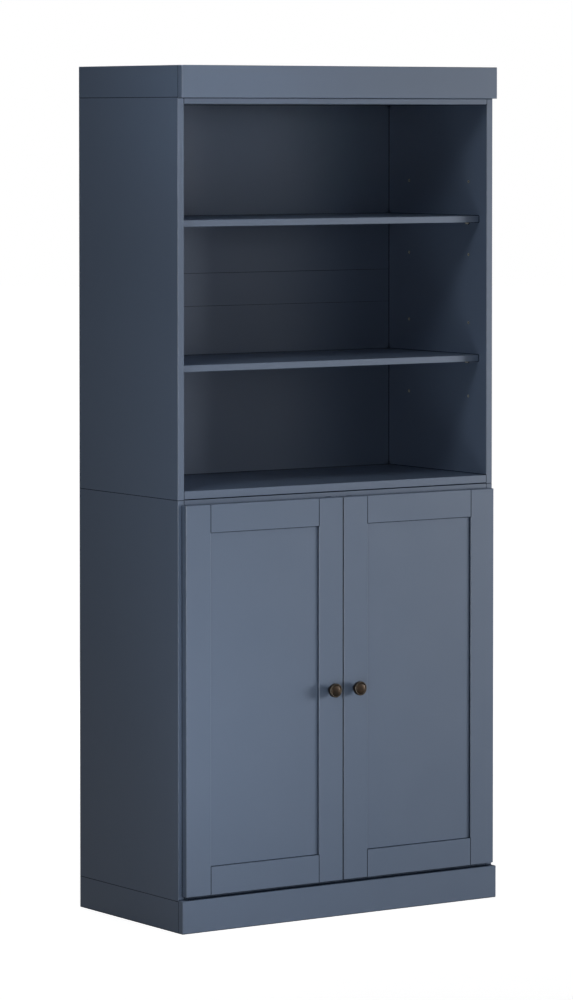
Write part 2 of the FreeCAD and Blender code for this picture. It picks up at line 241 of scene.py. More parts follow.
@dataclass
class Effects:
    """The surface effects that several finishes share, each one node group.

    A fade is the pair of source values at which a mask is 0 and 1. Those of the joints and gaps are
    shares of open sky within the reach, and that of the edges is the cosine between the true
    normal and one that is rounded over the arris.
    """

    joint_reach: float = 2.2 * MM
    joint_fade: Range = (0.985, 0.82)
    gap_reach: float = 20.0 * MM
    gap_fade: Range = (0.44, 0.3)
    edge_fade: Range = (0.995, 0.9)
    edge_patches: Range = (0.65, 1.0)
    level_fade: Range = (0.8, 0.98)
    dust_patches: Range = (0.3, 1.0)
    ring_scale: float = 28.0
    ring_distortion: float = 7.0
    scratch_scale: Place = (1.0, 1.0, 9.0)
    scratch_turn: Place = (0.5, 0.9, 0.0)
    smudge_size: float = 8.0 * MM
    roller_skin: bpy.types.NodeTree = field(init=False)
    soft_mottle: bpy.types.NodeTree = field(init=False)
    edge_rub: bpy.types.NodeTree = field(init=False)
    joint_shade: bpy.types.NodeTree = field(init=False)
    shelf_dust: bpy.types.NodeTree = field(init=False)
    plank_grain: bpy.types.NodeTree = field(init=False)
    fine_scratches: bpy.types.NodeTree = field(init=False)

    def __post_init__(self) -> None:
        """Build every group once."""
        self.roller_skin = self.build_roller_skin()
        self.soft_mottle = self.build_soft_mottle()
        self.edge_rub = self.build_edge_rub()
        self.joint_shade = self.build_joint_shade()
        self.shelf_dust = self.build_shelf_dust()
        self.plank_grain = self.build_plank_grain()
        self.fine_scratches = self.build_fine_scratches()

    def build_roller_skin(self) -> bpy.types.NodeTree:
        """Return the stipple and orange peel that a foam roller leaves, as a height."""
        inputs = {"Place": None, "Stipple": 0.0013, "Peel": 0.011, "Peel Share": 0.6}
        graph, entry, exit_ = new_group("roller_skin", inputs, ("Height",))
        stipple = graph.noise(entry.outputs["Place"], entry.outputs["Stipple"], 2.0)
        peel = graph.noise(entry.outputs["Place"], entry.outputs["Peel"], 1.0)
        raised = graph.math("MULTIPLY", peel, entry.outputs["Peel Share"])
        graph.feed(exit_.inputs["Height"], graph.math("ADD", stipple, raised))
        return graph.tree

    def build_soft_mottle(self) -> bpy.types.NodeTree:
        """Return broad clouds over finer ones, from 0 to 1."""
        graph, entry, exit_ = new_group("soft_mottle", {"Place": None, "Size": 0.35}, ("Clouds",))
        broad = graph.noise(entry.outputs["Place"], entry.outputs["Size"], 4.0, 0.55)
        graph.feed(exit_.inputs["Clouds"], graph.ramp(broad, 0.3, 0.7))
        return graph.tree

    def build_edge_rub(self) -> bpy.types.NodeTree:
        """Return a mask of the arrises, broken up along their length, for wear with a painted
        highlight there.
        """
        inputs = {"Place": None, "Radius": 0.0015, "Patch": 0.03}
        graph, entry, exit_ = new_group("edge_rub", inputs, ("Mask",))
        rounded = graph.add("ShaderNodeBevel", {"Radius": entry.outputs["Radius"]}, samples=4)
        flat = graph.add("ShaderNodeNewGeometry")
        dot = graph.add("ShaderNodeVectorMath", {0: rounded.outputs[0], 1: flat.outputs["Normal"]},
                        operation="DOT_PRODUCT").outputs["Value"]
        edge = graph.ramp(dot, *self.edge_fade)
        broken = graph.noise(entry.outputs["Place"], entry.outputs["Patch"], 3.0)
        patches = graph.ramp(broken, 0.35, 0.6, *self.edge_patches)
        graph.feed(exit_.inputs["Mask"], graph.math("MULTIPLY", edge, patches))
        return graph.tree

    def build_joint_shade(self) -> bpy.types.NodeTree:
        """Return a mask of fine joints and deep gaps from ambient occlusion: painted shade on the
        paint, grime in the metals' hollows.
        """
        graph, _, exit_ = new_group("joint_shade", {}, ("Mask",))
        near, far = (
            graph.add("ShaderNodeAmbientOcclusion", {"Distance": reach}, samples=8).outputs["AO"]
            for reach in (self.joint_reach, self.gap_reach))
        joints, gaps = graph.ramp(near, *self.joint_fade), graph.ramp(far, *self.gap_fade)
        graph.feed(exit_.inputs["Mask"], graph.math("MAXIMUM", joints, gaps))
        return graph.tree

    def build_shelf_dust(self) -> bpy.types.NodeTree:
        """Return a mask of what lies level and faces up, thin and uneven."""
        graph, entry, exit_ = new_group("shelf_dust", {"Place": None, "Patch": 0.05}, ("Mask",))
        normal = graph.add("ShaderNodeNewGeometry").outputs["Normal"]
        up = graph.add("ShaderNodeSeparateXYZ", {0: normal}).outputs["Z"]
        level = graph.ramp(up, *self.level_fade)
        uneven = graph.noise(entry.outputs["Place"], entry.outputs["Patch"], 6.0, 0.7)
        drift = graph.ramp(uneven, 0.3, 0.75, *self.dust_patches)
        graph.feed(exit_.inputs["Mask"], graph.math("MULTIPLY", level, drift))
        return graph.tree

    def build_plank_grain(self) -> bpy.types.NodeTree:
        """Return growth rings and pores of sawn softwood, for a place stretched along the grain."""
        inputs = {"Place": None, "Pore": 0.006}
        graph, entry, exit_ = new_group("plank_grain", inputs, ("Rings", "Pores"))
        place = entry.outputs["Place"]
        warp = graph.noise(place, 0.05, 2.0)
        wave = {"Vector": place, "Scale": self.ring_scale, "Distortion": self.ring_distortion,
                "Detail": 3.0, "Detail Scale": 1.4}
        bands = graph.add("ShaderNodeTexWave", wave, wave_type="RINGS", rings_direction="X")
        mixed = graph.math("MULTIPLY", bands.outputs["Fac"], graph.ramp(warp, 0.2, 0.8, 0.5, 1.0))
        pores = graph.noise(place, entry.outputs["Pore"], 5.0, 0.7)
        graph.feed(exit_.inputs["Rings"], mixed)
        graph.feed(exit_.inputs["Pores"], graph.ramp(pores, 0.5, 0.75))
        return graph.tree

    def build_fine_scratches(self) -> bpy.types.NodeTree:
        """Return short hairlines and smudges of handled metal, from 0 to 1."""
        inputs = {"Place": None, "Size": 0.0006}
        graph, entry, exit_ = new_group("fine_scratches", inputs, ("Marks", "Smudge"))
        place = entry.outputs["Place"]
        stretch = graph.add("ShaderNodeMapping", {"Vector": place, "Scale": self.scratch_scale,
                                                  "Rotation": self.scratch_turn})
        lines = graph.noise(stretch.outputs[0], entry.outputs["Size"], 3.0, 0.6)
        smudges = graph.noise(place, self.smudge_size, 3.0)
        graph.feed(exit_.inputs["Marks"], graph.ramp(lines, 0.52, 0.7))
        graph.feed(exit_.inputs["Smudge"], graph.ramp(smudges, 0.35, 0.65))
        return graph.tree


def new_material(name: str) -> tuple[bpy.types.Material, Graph, bpy.types.Node]:
    """Start a material.

    Args:
        name: the material's name.

    Returns:
        The material, its graph and its Principled shader.
    """
    material = bpy.data.materials.new(name)
    material.use_nodes = True
    return material, Graph(material.node_tree), material.node_tree.nodes["Principled BSDF"]


# ---------------------------------------------------------------- finishes
@dataclass(frozen=True)
class PaintFinish:
    """Satin slate-blue lacquer on boards, rolled on, with wear and a painted highlight at the arrises.

    Fine joints and deep gaps get painted shade: their colour nears the shade colour, their sheen
    is dull and the lacquer's own reflection is taken away.
    """

    colour: Colour = (0.123, 0.170, 0.256)
    deep: Colour = (0.118, 0.165, 0.250)
    # the paler blue of the arrises: wear and a painted highlight
    worn_and_highlight: Colour = (0.260, 0.320, 0.410)
    # the colour of the painted shade in joints and gaps
    shade: Colour = (0.002, 0.009, 0.024)
    dust: Colour = (0.300, 0.320, 0.345)
    rub_share: float = 0.3
    shade_share: float = 0.95
    dust_share: float = 0.03
    gloss: float = 0.5
    roughness: Range = (0.385, 0.415)
    sheen_patch: float = 80.0 * MM
    grime_roughness: float = 0.95
    skin_depth: float = 0.012 * MM

    def darkening(self, graph: Graph, effects: Effects) -> bpy.types.NodeSocket:
        """Return the share of painted shade that the paint takes in joints and gaps, where it loses
        its own look.
        """
        shade = graph.use(effects.joint_shade).outputs["Mask"]
        return graph.math("MULTIPLY", shade, self.shade_share)

    def tint(self, graph: Graph, effects: Effects,
             place: bpy.types.NodeSocket) -> bpy.types.NodeSocket:
        """Return the paint's colour over the surface."""
        clouds = graph.use(effects.soft_mottle, place=place).outputs["Clouds"]
        rub_and_highlight = graph.use(effects.edge_rub, place=place).outputs["Mask"]
        dust = graph.use(effects.shelf_dust, place=place).outputs["Mask"]
        body = graph.blend(clouds, self.colour, self.deep)
        # wear and a painted highlight: the arrises are lightened towards a paler blue
        rubbed_and_highlighted = graph.blend(graph.math("MULTIPLY", rub_and_highlight, self.rub_share), body, self.worn_and_highlight)
        dusty = graph.blend(graph.math("MULTIPLY", dust, self.dust_share), rubbed_and_highlighted, self.dust)
        # painted shade: joints and gaps are darkened towards the shade colour
        return graph.blend(self.darkening(graph, effects), dusty, self.shade)

    def skin(self, graph: Graph, effects: Effects,
             place: bpy.types.NodeSocket) -> bpy.types.NodeSocket:
        """Return the rolled surface's normal."""
        height = graph.use(effects.roller_skin, place=place).outputs["Height"]
        return graph.add("ShaderNodeBump", {"Strength": 1.0, "Distance": self.skin_depth,
                                            "Height": height}).outputs[0]

    def sheen_spread(self, graph: Graph, effects: Effects,
                     place: bpy.types.NodeSocket) -> bpy.types.NodeSocket:
        """Return the roughness, which drifts a little over a board and is dull in the joints, as part
        of their painted shade.
        """
        satin = graph.ramp(graph.noise(place, self.sheen_patch, 3.0), 0.3, 0.7, *self.roughness)
        shade = graph.use(effects.joint_shade).outputs["Mask"]
        return graph.mix(shade, satin, self.grime_roughness)

    def material(self, effects: Effects) -> bpy.types.Material:
        """Return the finish as a material."""
        material, graph, shader = new_material("slate_blue_paint")
        place = graph.place()
        graph.feed(shader.inputs["Base Color"], self.tint(graph, effects, place))
        graph.feed(shader.inputs["Roughness"], self.sheen_spread(graph, effects, place))
        # painted shade: in joints and gaps the lacquer's reflection is taken away too
        graph.feed(shader.inputs["Metallic"], self.darkening(graph, effects))
        graph.feed(shader.inputs["Normal"], self.skin(graph, effects, place))
        shader.inputs["Specular IOR Level"].default_value = self.gloss
        return material


@dataclass(frozen=True)
class BackBoardFinish:
    """A thin back board: the room side painted, the wall side bare pressed fibre."""

    paint: PaintFinish = PaintFinish()
    fibre: Colour = (0.235, 0.145, 0.080)
    fleck: Colour = (0.130, 0.078, 0.042)
    fibre_roughness: float = 0.78
    fleck_size: float = 1.1 * MM
    rear_fade: Range = (0.4, 0.6)

    def material(self, effects: Effects) -> bpy.types.Material:
        """Return the finish as a material."""
        material, graph, shader = new_material("painted_fibre_board")
        place = graph.place()
        normal = graph.add("ShaderNodeTexCoord").outputs["Normal"]
        backward = graph.add("ShaderNodeSeparateXYZ", {0: normal}).outputs["Y"]
        rear = graph.ramp(backward, *self.rear_fade)
        flecks = graph.ramp(graph.noise(place, self.fleck_size, 5.0, 0.75), 0.5, 0.72)
        bare = graph.blend(flecks, self.fibre, self.fleck)
        # the room side keeps the paint's painted shade in joints and its wear with a painted highlight
        # on the arrises
        painted = self.paint.tint(graph, effects, place)
        graph.feed(shader.inputs["Base Color"], graph.blend(rear, painted, bare))
        satin = self.paint.sheen_spread(graph, effects, place)
        graph.feed(shader.inputs["Roughness"], graph.mix(rear, satin, self.fibre_roughness))
        graph.feed(shader.inputs["Normal"], self.paint.skin(graph, effects, place))
        return material


@dataclass(frozen=True)
class WoodFinish:
    """Sawn softwood that stays bare inside the plinth and the cornice."""

    grain: Grain = Grain.ALONG_X
    early: Colour = (0.560, 0.375, 0.200)
    late: Colour = (0.350, 0.195, 0.085)
    pore: Colour = (0.250, 0.140, 0.065)
    stretch: float = 0.07
    pore_share: float = 0.5
    roughness: Range = (0.55, 0.72)
    relief: float = 0.05 * MM

    def material(self, effects: Effects) -> bpy.types.Material:
        """Return the finish as a material."""
        material, graph, shader = new_material("bare_softwood_" + self.grain.name.lower())
        scale = [1.0, 1.0, 1.0]
        scale[self.grain.value] = self.stretch
        place = graph.add("ShaderNodeMapping", {"Vector": graph.place(), "Scale": scale}).outputs[0]
        grain = graph.use(effects.plank_grain, place=place)
        rings, pores = grain.outputs["Rings"], grain.outputs["Pores"]
        wood = graph.blend(graph.ramp(rings, 0.2, 0.9), self.early, self.late)
        wood = graph.blend(graph.math("MULTIPLY", pores, self.pore_share), wood, self.pore)
        graph.feed(shader.inputs["Base Color"], wood)
        graph.feed(shader.inputs["Roughness"], graph.ramp(pores, 0.0, 1.0, *self.roughness))
        bump = graph.add("ShaderNodeBump", {"Distance": self.relief, "Height": rings})
        graph.feed(shader.inputs["Normal"], bump.outputs[0])
        return material


@dataclass(frozen=True)
class MetalFinish:
    """A metal with handling marks, brighter arrises and grime in its hollows; the arrises show wear,
    and on the bronze knob also a painted highlight of its lit rim.
    """

    name: str
    colour: Colour
    shade: Colour
    bright: Colour
    metallic: float = 1.0
    roughness: Range = (0.28, 0.42)
    rub_radius: float = 0.6 * MM
    rub_patch: float = 6.0 * MM
    rub_share: float = 0.6
    grime: Colour = (0.012, 0.010, 0.008)
    grime_share: float = 0.8
    cast_depth: float = 0.01 * MM

    def material(self, effects: Effects) -> bpy.types.Material:
        """Return the finish as a material."""
        material, graph, shader = new_material(self.name)
        place = graph.place()
        marks = graph.use(effects.fine_scratches, place=place)
        edges = graph.use(effects.edge_rub, place=place, radius=self.rub_radius, patch=self.rub_patch)
        rub_and_highlight = graph.math("MULTIPLY", edges.outputs["Mask"], self.rub_share)
        body = graph.blend(marks.outputs["Smudge"], self.colour, self.shade)
        # brighter arrises: wear, and on the bronze knob a painted highlight on its lit rim
        worn_and_highlight = graph.blend(rub_and_highlight, body, self.bright)
        grime = graph.use(effects.joint_shade).outputs["Mask"]
        soiled = graph.blend(graph.math("MULTIPLY", grime, self.grime_share), worn_and_highlight, self.grime)
        graph.feed(shader.inputs["Base Color"], soiled)
        spread = graph.ramp(marks.outputs["Marks"], 0.0, 1.0, *self.roughness)
        graph.feed(shader.inputs["Roughness"], spread)
        bump = graph.add("ShaderNodeBump", {"Distance": self.cast_depth,
                                            "Height": marks.outputs["Smudge"]})
        graph.feed(shader.inputs["Normal"], bump.outputs[0])
        shader.inputs["Metallic"].default_value = self.metallic
        return material


@dataclass(frozen=True)
class FeltFinish:
    """Pressed grey felt."""

    colour: Colour = (0.105, 0.112, 0.120)
    lint: Colour = (0.240, 0.245, 0.250)
    lint_share: float = 0.3
    fibre: float = 0.4 * MM
    clump: float = 6.0 * MM
    nap: float = 0.15 * MM
    roughness: float = 0.95
    sheen: float = 0.3

    def material(self, effects: Effects) -> bpy.types.Material:
        """Return the finish as a material."""
        material, graph, shader = new_material("pressed_felt")
        place = graph.place()
        fibres = graph.noise(place, self.fibre, 6.0, 0.8)
        clouds = graph.use(effects.soft_mottle, place=place, size=self.clump).outputs["Clouds"]
        body = graph.blend(graph.ramp(fibres, 0.45, 0.75), self.colour, self.lint)
        linty = graph.blend(graph.math("MULTIPLY", clouds, self.lint_share), body, self.lint)
        graph.feed(shader.inputs["Base Color"], linty)
        bump = graph.add("ShaderNodeBump", {"Distance": self.nap, "Height": fibres})
        graph.feed(shader.inputs["Normal"], bump.outputs[0])
        shader.inputs["Roughness"].default_value = self.roughness
        shader.inputs["Sheen Weight"].default_value = self.sheen
        return material


# the bronze's pale arris colour and strong share paint the highlight of the knob's lit rim, besides
# wear
AGED_BRONZE = MetalFinish(
    "aged_bronze", (0.052, 0.034, 0.022), (0.030, 0.022, 0.016), (0.300, 0.285, 0.230),
    metallic=0.85, roughness=(0.34, 0.48), rub_radius=1.2 * MM, rub_share=0.9)
SATIN_BRASS = MetalFinish(
    "satin_brass", (0.660, 0.640, 0.520), (0.540, 0.520, 0.400), (0.740, 0.720, 0.600), metallic=0.2)
ZINC_PLATE = MetalFinish(
    "zinc_plate", (0.520, 0.530, 0.545), (0.420, 0.430, 0.450), (0.700, 0.710, 0.720))


@dataclass
class Palette:
    """Every material of the piece, built once."""

    effects: Effects = field(default_factory=Effects)
    paint: bpy.types.Material = field(init=False)
    back_board: bpy.types.Material = field(init=False)
    wood: dict[Grain, bpy.types.Material] = field(init=False)
    metals: dict[Slot, bpy.types.Material] = field(init=False)
    felt: bpy.types.Material = field(init=False)

    def __post_init__(self) -> None:
        """Build the materials."""
        self.paint = PaintFinish().material(self.effects)
        self.back_board = BackBoardFinish().material(self.effects)
        self.wood = {grain: WoodFinish(grain).material(self.effects) for grain in Grain}
        self.metals = {slot: finish.material(self.effects) for slot, finish in
                       ((Slot.BRONZE, AGED_BRONZE), (Slot.PIN, SATIN_BRASS), (Slot.ZINC, ZINC_PLATE))}
        self.felt = FeltFinish().material(self.effects)


# ---------------------------------------------------------------- mesh helpers
def rounded_outline(corners: Sequence[Place], steps: int) -> list[tuple[float, float]]:
    """Round the corners of an outline.

    Args:
        corners: (radius, rise, rounding) of each corner, from foot to crown.
        steps: points along each rounding.

    Returns:
        The outline's (radius, rise) points.
    """
    points = [Vector(corner[:2]) for corner in corners]
    outline = [tuple(points[0])]
    for before, point, after, (_, _, rounding) in zip(points, points[1:], points[2:], corners[1:-1]):
        back, on = before - point, after - point
        cut = min(rounding, 0.49 * back.length, 0.49 * on.length)
        start, end = point + back.normalized() * cut, point + on.normalized() * cut
        for step in range(steps + 1) if cut > 0 else (0,):
            t = step / steps
            outline.append(tuple(start * (1 - t) ** 2 + point * 2 * t * (1 - t) + end * t ** 2))
    return outline + [tuple(points[-1])]


def turned_mesh(outline: Sequence[tuple[float, float]], steps: int) -> bmesh.types.BMesh:
    """Turn an outline about Z.

    Args:
        outline: (radius, rise) points; a radius of zero closes the form.
        steps: facets round the axis.

    Returns:
        The turned mesh.
    """
    mesh = bmesh.new()
    rings = []
    for radius, rise in outline:
        count = steps if radius > ON_AXIS else 1
        angles = [math.tau * step / steps for step in range(count)]
        rings.append([mesh.verts.new((radius * math.cos(a), radius * math.sin(a), rise))
                      for a in angles])
    for low, high in zip(rings, rings[1:]):
        for step in range(steps):
            after = (step + 1) % steps
            loop = (low[step % len(low)], low[after % len(low)],
                    high[after % len(high)], high[step % len(high)])
            corners = list(dict.fromkeys(loop))
            if len(corners) > 2:
                mesh.faces.new(corners)
    bmesh.ops.recalc_face_normals(mesh, faces=mesh.faces)
    return mesh


def cross_bars(reach: float, width: float, top: float, depth: float,
               taper: float = 0.45) -> bmesh.types.BMesh:
    """Make the tapered cross that is cut into a screw head from above.

    Args:
        reach: from the middle to the end of each arm.
        width: across an arm.
        top: the height of the cross's upper side.
        depth: from the upper side to the bottom.
        taper: the share of reach and width that is left at the bottom.

    Returns:
        The cross as two boxes.
    """
    mesh = bmesh.new()
    for spin in (0.0, math.pi / 2):
        bar = bmesh.ops.create_cube(mesh, size=1.0)["verts"]
        for vert in bar:
            share = 1.0 if vert.co.z > 0 else taper
            across = (vert.co.x * 2 * reach * share, vert.co.y * width * share)
            vert.co = Vector((*across, top + depth * (vert.co.z - 0.5)))
        bmesh.ops.rotate(mesh, verts=bar, cent=(0, 0, 0), matrix=Matrix.Rotation(spin, 3, "Z"))
    return mesh


def scene_object(name: str, mesh: bmesh.types.BMesh) -> bpy.types.Object:
    """Put a mesh into the scene as a named object at the origin."""
    data = bpy.data.meshes.new(name)
    mesh.to_mesh(data)
    mesh.free()
    made = bpy.data.objects.new(name, data)
    bpy.context.scene.collection.objects.link(made)
    return made


def seat(place: Vector, outward: Vector, spin: float = 0.0) -> Matrix:
    """Return the matrix that stands a Z-up form on a place, with its Z along outward."""
    turn = outward.to_track_quat("Z", "Y").to_matrix().to_4x4()
    return Matrix.Translation(place) @ turn @ Matrix.Rotation(spin, 4, "Z")


def copies(source: bpy.types.Mesh, matrices: Iterable[Matrix]) -> bmesh.types.BMesh:
    """Return one mesh that holds a copy of the source at each matrix."""
    joined = bmesh.new()
    for matrix in matrices:
        start = len(joined.verts)
        joined.from_mesh(source)
        joined.verts.ensure_lookup_table()
        bmesh.ops.transform(joined, matrix=matrix, verts=joined.verts[start:])
    return joined


@dataclass
class Fitter:
    """Dresses each new piece and puts it on its body.

    Edges that turn by more than crisp_from degrees stay crisp.
    """

    palette: Palette
    crisp_from: float = 40.0

    def fit(self, piece: bpy.types.Object, body: Body, slot: Slot) -> bpy.types.Object:
        """Finish a new piece.

        Args:
            piece: the new object.
            body: the body that it rides on.
            slot: the slot that it takes its finish from.

        Returns:
            The same object.
        """
        for face in piece.data.polygons:
            face.use_smooth = True
        piece.data.set_sharp_from_angle(angle=math.radians(self.crisp_from))
        piece.data.materials.append(self.palette.metals[slot])
        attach(piece, body.value)
        log.info("%s rides on %s", piece.name, body.value)
        return piece


# ---------------------------------------------------------------- the boards
@dataclass
class Boards:
    """The carried-over construction, which keeps its shape and gets its finishes."""

    palette: Palette
    back_nodes: tuple[str, ...] = ("back_panel_low", "back_panel_high", "back_rail")
    lengthwise: tuple[str, ...] = ("plinth_back_rail", "cornice_back_rail")
    crosswise: tuple[str, ...] = ("plinth_centre_brace",)

    def material_for(self, node: str, slot: Slot) -> bpy.types.Material:
        """Choose a node's material.

        Args:
            node: the node's name.
            slot: the record's slot for it.

        Returns:
            The material.
        """
        if slot is Slot.BARE_WOOD:
            grain = Grain.ALONG_X if node in self.lengthwise else Grain.ALONG_Z
            return self.palette.wood[Grain.ALONG_Y if node in self.crosswise else grain]
        if slot is Slot.FELT:
            return self.palette.felt
        if slot is Slot.PAINT:
            module_part = node.split("_", 1)[1]
            return self.palette.back_board if module_part in self.back_nodes else self.palette.paint
        return self.palette.metals[slot]

    def dress(self) -> None:
        """Give every node its finish."""
        for subpart in frame["record"]["subparts"]:
            node, slot = subpart["node"], Slot(subpart["material_slot"])
            shown = frame["nodes"][node]
            shown.data.materials.clear()
            shown.data.materials.append(self.material_for(node, slot))
            log.info("%s is finished in %s", node, slot.value)


# ---------------------------------------------------------------- screws
@dataclass(frozen=True)
class ScrewHead:
    """A pan head with a cross recess, standing on Z = 0.

    The shares of the recess are of the radius, but that of its depth is of the height.
    """

    radius: float
    height: float
    recess_share: float = 0.62
    width_share: float = 0.26
    depth_share: float = 0.7
    overshoot: float = 1.05
    facets: int = 32

    def corners(self) -> tuple[Place, ...]:
        """Return (radius, rise, rounding) of each corner, from the seat to the crown."""
        r, h = self.radius, self.height
        return ((0.0, 0.0, 0.0), (r, 0.0, 0.0), (r, 0.45 * h, 0.2 * h),
                (0.82 * r, 0.92 * h, 0.5 * h), (0.0, h, 0.0))

    def mesh(self) -> bpy.types.Mesh:
        """Return the head's mesh."""
        r, h = self.radius, self.height
        outline = rounded_outline(self.corners(), 4)
        head = scene_object("screw_head_form", turned_mesh(outline, self.facets))
        bars = cross_bars(self.recess_share * r, self.width_share * r, self.overshoot * h,
                          self.depth_share * h)
        cutter = scene_object("screw_cross_form", bars)
        cut = head.modifiers.new("recess", "BOOLEAN")
        cut.operation, cut.solver, cut.object, cut.use_self = "DIFFERENCE", "EXACT", cutter, True
        view = bpy.context.evaluated_depsgraph_get()
        made = bpy.data.meshes.new_from_object(head.evaluated_get(view))
        for form in (head, cutter):
            bpy.data.objects.remove(form)
        return made


# ---------------------------------------------------------------- doors' hardware
@dataclass
class Knob:
    """A turned knob: flared foot, waisted neck and a drum head with a ringed face."""

    fitter: Fitter
    side: Side
    foot_radius: float = 7.4 * MM
    waist_radius: float = 5.8 * MM
    drum_depth: float = 11.5 * MM
    dome_rise: float = 1.1 * MM
    ring_width: float = 3.4 * MM
    groove_depth: float = 0.9 * MM
    facets: int = 72
    screw_rise: float = 2.5 * MM
    screw_sunk: float = 2.2 * MM
    screw_margin: float = 1.04
    screw_spin: float = 0.6

    def corners(self, radius: float, rise: float) -> tuple[Place, ...]:
        """Work out the outline's corners.

        Args:
            radius: the head's radius.
            rise: from the door's face to the crown.

        Returns:
            (radius, rise, rounding) of each corner, from the foot's centre to the crown.
        """
        foot, waist, groove = self.foot_radius, self.waist_radius, radius - self.ring_width
        under, face = rise - self.drum_depth, rise - self.dome_rise
        sunk = face - self.groove_depth
        return (
            (0.0, 0.0, 0.0), (foot, 0.0, 0.0), (foot, 1.3 * MM, 0.6 * MM),
            (waist, 3.4 * MM, 3.0 * MM), (waist, under - 1.8 * MM, 1.5 * MM),
            (waist + 1.8 * MM, under, 1.5 * MM), (radius - 1.2 * MM, under + 0.4 * MM, 0.6 * MM),
            (radius, under + 1.6 * MM, 0.9 * MM), (radius, face - 0.7 * MM, 0.3 * MM),
            (radius - 0.7 * MM, face, 0.3 * MM), (groove + 0.7 * MM, face, 0.35 * MM),
            (groove, sunk, 0.3 * MM), (groove - 0.7 * MM, sunk, 0.4 * MM),
            (groove - 1.9 * MM, face + 0.2 * MM, 1.2 * MM),
            (0.45 * groove, rise - 0.1 * MM, 3.0 * MM), (0.0, rise, 0.0))

    def build(self) -> None:
        """Make the knob and its screw."""
        node = f"{self.side.word}_door_knob"
        low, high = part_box(node)
        centre = Vector(((low.x + high.x) / 2, high.y, (low.z + high.z) / 2))
        outline = rounded_outline(self.corners((high.z - low.z) / 2, high.y - low.y), 5)
        form = turned_mesh(outline, self.facets)
        form.transform(seat(centre, Vector((0, -1, 0))))
        turned = scene_object(f"{self.side.word}_turned_knob", form)
        piece = self.fitter.fit(turned, self.side.door, Slot.BRONZE)
        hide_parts(node)
        self.build_screw_head()

    def build_screw_head(self) -> None:
        """Put a cross recess on the screw behind the stile."""
        low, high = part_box(f"{self.side.word}_door_knob_screw")
        radius = (high.z - low.z) / 2
        head = ScrewHead(self.screw_margin * radius, self.screw_rise).mesh()
        rear = Vector(((low.x + high.x) / 2, high.y - self.screw_sunk, (low.z + high.z) / 2))
        form = copies(head, [seat(rear, Vector((0, 1, 0)), self.screw_spin)])
        made = scene_object(f"{self.side.word}_knob_screw_head", form)
        self.fitter.fit(made, self.side.door, Slot.ZINC)


@dataclass
class HingeScrews:
    """The screws of one door's concealed hinges: on the cups, the plates and the arms.

    A reach is from a hinge's middle to the end of its node, a spacing from its middle to a screw.
    """

    fitter: Fitter
    side: Side
    cup_reach: float = 29.0 * MM
    cup_spacing: float = 22.5 * MM
    cup_head: ScrewHead = ScrewHead(3.3 * MM, 1.5 * MM)
    plate_reach: float = 25.0 * MM
    plate_spacing: float = 16.0 * MM
    plate_setback: float = 37.0 * MM
    plate_thickness: float = 1.8 * MM
    plate_head: ScrewHead = ScrewHead(3.4 * MM, 1.7 * MM)
    arm_reach: float = 8.0 * MM
    arm_screws: Range = (20.0 * MM, 36.0 * MM)
    arm_head: ScrewHead = ScrewHead(2.9 * MM, 1.2 * MM)

    def levels(self, node: str, reach: float) -> Range:
        """Return the heights of a door's two hinges, from a node that reaches as far past each."""
        low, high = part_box(node)
        return low.z + reach, high.z - reach

    def cup_places(self) -> list[Matrix]:
        """Return the seats of the screws in the cups' wings."""
        node = f"{self.side.word}_hinge_cups"
        low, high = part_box(node)
        x = (low.x + high.x) / 2
        heights = [level + step for level in self.levels(node, self.cup_reach)
                   for step in (-self.cup_spacing, self.cup_spacing)]
        return [seat(Vector((x, high.y, z)), Vector((0, 1, 0)), 0.7 * number)
                for number, z in enumerate(heights)]

    def plate_places(self) -> list[Matrix]:
        """Return the seats of the screws in the plates' wings."""
        node = f"{self.side.word}_hinge_plates"
        wall = max(abs(corner.x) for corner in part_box(node))
        x = self.side.value * (wall - self.plate_thickness)
        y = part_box(f"lower_side_{self.side.word}")[0].y + self.plate_setback
        inward = Vector((-self.side.value, 0, 0))
        heights = [level + step for level in self.levels(node, self.plate_reach)
                   for step in (-self.plate_spacing, self.plate_spacing)]
        return [seat(Vector((x, y, z)), inward, 0.5 + 0.9 * number)
                for number, z in enumerate(heights)]

    def arm_places(self) -> list[Matrix]:
        """Return the seats of the two adjusting screws on each arm."""
        node = f"{self.side.word}_hinge_arms"
        x = self.side.value * min(abs(corner.x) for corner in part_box(node))
        inward = Vector((-self.side.value, 0, 0))
        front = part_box(f"{self.side.word}_door_hinge_stile")[1].y
        return [seat(Vector((x, front + step, z)), inward, 0.3 + step * 40)
                for z in self.levels(node, self.arm_reach) for step in self.arm_screws]

    def build(self) -> None:
        """Make the three groups of screws."""
        for kind, head, places, body in (
                ("cup", self.cup_head, self.cup_places(), self.side.door),
                ("plate", self.plate_head, self.plate_places(), Body.CARCASS),
                ("arm", self.arm_head, self.arm_places(), Body.CARCASS)):
            screws = scene_object(f"{self.side.word}_{kind}_screws", copies(head.mesh(), places))
            self.fitter.fit(screws, body, Slot.ZINC)


